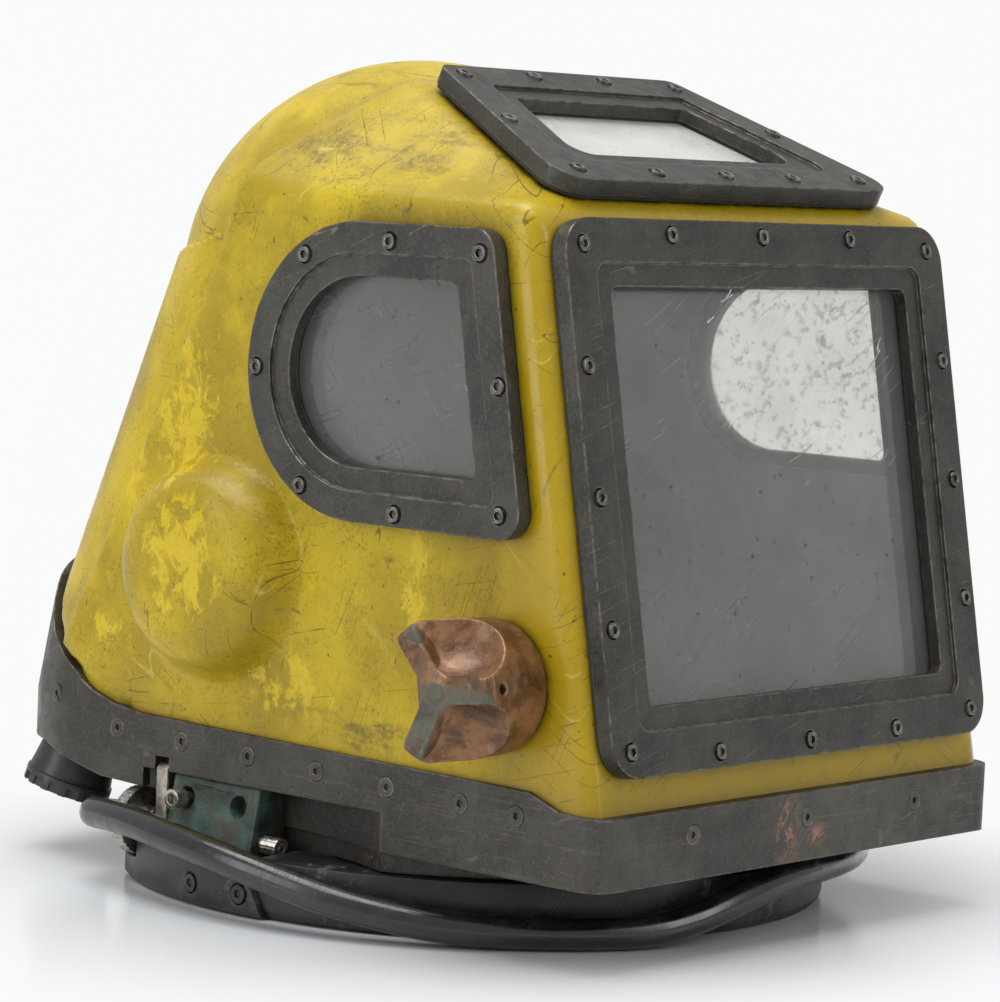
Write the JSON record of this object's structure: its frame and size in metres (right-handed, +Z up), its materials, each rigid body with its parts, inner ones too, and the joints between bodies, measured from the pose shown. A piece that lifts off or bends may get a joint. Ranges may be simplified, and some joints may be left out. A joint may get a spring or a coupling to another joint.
{
  "type": "diving helmet",
  "caption": "Free-flow diving helmet with flat windows on four sides, a base band, a latched neck ring, an air control knob and an exhaust valve.",
  "frame": {"origin": "centre of the neck ring on its underside, which is the plane that the helmet stands on", "axes": "+Z up, -Y out of the front window, -X towards the wearer's right, where the air control knob is"},
  "size_m": [0.3321, 0.3842, 0.342],
  "materials": {
    "shell_yellow": "worn gloss gelcoat",
    "band_bronze": "dark oxidised",
    "collar_bronze": "dark oxidised",
    "frame_bronze": "dark oxidised with worn edges",
    "pane_clear": "scratched clear acrylic",
    "gasket_rubber": "matt",
    "screw_steel": "worn socket screws",
    "band_screw_dark": "flush dark screws",
    "ring_black": "chipped black paint",
    "keeper_dark": "worn dark",
    "knob_copper": "brown copper with green patina",
    "latch_patina": "green patina",
    "bright_steel": "bright",
    "lever_pewter": "dull",
    "hose_rubber": "glossy black",
    "cap_black": "satin black",
    "inner_brass": "machined",
    "audio_black": "matt",
    "spring_steel": "bright",
    "disc_rubber": "matt"
  },
  "bodies": {
    "helmet": {"shell": "shell_yellow", "base_band": "band_bronze", "band_screws": "band_screw_dark", "collar": "collar_bronze", "collar_screws": "screw_steel", "collar_seal": "gasket_rubber", "front_frame": "frame_bronze", "front_pane": "pane_clear", "front_gasket": "gasket_rubber", "front_screws": "screw_steel", "top_frame": "frame_bronze", "top_pane": "pane_clear", "top_gasket": "gasket_rubber", "top_screws": "screw_steel", "right_frame": "frame_bronze", "right_pane": "pane_clear", "right_gasket": "gasket_rubber", "right_screws": "screw_steel", "left_frame": "frame_bronze", "left_pane": "pane_clear", "left_gasket": "gasket_rubber", "left_screws": "screw_steel", "valve_body": "inner_brass", "valve_nut": "inner_brass", "air_duct": "inner_brass", "air_inlet": "inner_brass", "inlet_nut": "inner_brass", "non_return_spring": "spring_steel", "exhaust_body": "inner_brass", "exhaust_spring": "spring_steel", "right_latch_block": "latch_patina", "left_latch_block": "latch_patina", "right_block_screw": "bright_steel", "left_block_screws": "bright_steel", "hose_loop": "hose_rubber", "hose_ferrules": "bright_steel", "right_earphone": "audio_black", "left_earphone": "audio_black", "microphone": "audio_black", "microphone_arm": "spring_steel"},
    "neck_ring": {"neck_ring": "ring_black", "right_keeper": "keeper_dark", "left_keeper": "keeper_dark", "keeper_screws": "keeper_dark"},
    "right_lock": {"right_lock_shaft": "bright_steel", "right_thumb_lever": "lever_pewter", "right_knurled_knob": "bright_steel"},
    "left_lock": {"left_lock_shaft": "bright_steel", "left_thumb_lever": "lever_pewter", "left_knurled_knob": "bright_steel"},
    "air_control": {"air_knob": "knob_copper", "knob_set_screw": "screw_steel", "valve_spindle": "bright_steel"},
    "valve_plunger": {"valve_plunger": "bright_steel"},
    "exhaust_adjuster": {"exhaust_bonnet": "cap_black"},
    "exhaust_flap": {"exhaust_disc": "disc_rubber"},
    "non_return": {"non_return_poppet": "bright_steel"}
  },
  "joints": [
    {"name": "neck_ring_release", "type": "slide", "parent": "helmet", "child": "neck_ring", "axis": [0, 0, -1], "range_m": [0, 0.06]},
    {"name": "right_lock_turn", "type": "hinge", "parent": "helmet", "child": "right_lock", "pos_m": [-0.124, 0, 0.0245], "axis": [0, -1, 0], "range_deg": [0, 45]},
    {"name": "left_lock_turn", "type": "hinge", "parent": "helmet", "child": "left_lock", "pos_m": [0.124, 0, 0.0245], "axis": [0, 1, 0], "range_deg": [0, 45]},
    {"name": "air_control_turn", "type": "hinge", "parent": "helmet", "child": "air_control", "pos_m": [-0.127, -0.118, 0.104], "axis": [-1, 0, 0], "range_deg": [0, 720]},
    {"name": "valve_plunger_travel", "type": "slide", "parent": "helmet", "child": "valve_plunger", "axis": [-1, 0, 0], "range_m": [0, 0.0035]},
    {"name": "exhaust_adjuster_turn", "type": "hinge", "parent": "helmet", "child": "exhaust_adjuster", "pos_m": [-0.0954, 0.1416, 0.05], "axis": [-0.1918, 0.2207, -0.9563], "range_deg": [0, 270]},
    {"name": "exhaust_flap_lift", "type": "slide", "parent": "helmet", "child": "exhaust_flap", "axis": [-0.1918, 0.2207, -0.9563], "range_m": [0, 0.003]},
    {"name": "non_return_lift", "type": "slide", "parent": "helmet", "child": "non_return", "axis": [0, -1, 0], "range_m": [0, 0.003]}
  ],
  "couplings": [
    {"joint": "valve_plunger_travel", "follows": "air_control_turn", "m_per_rad": 0.000275}
  ]
}
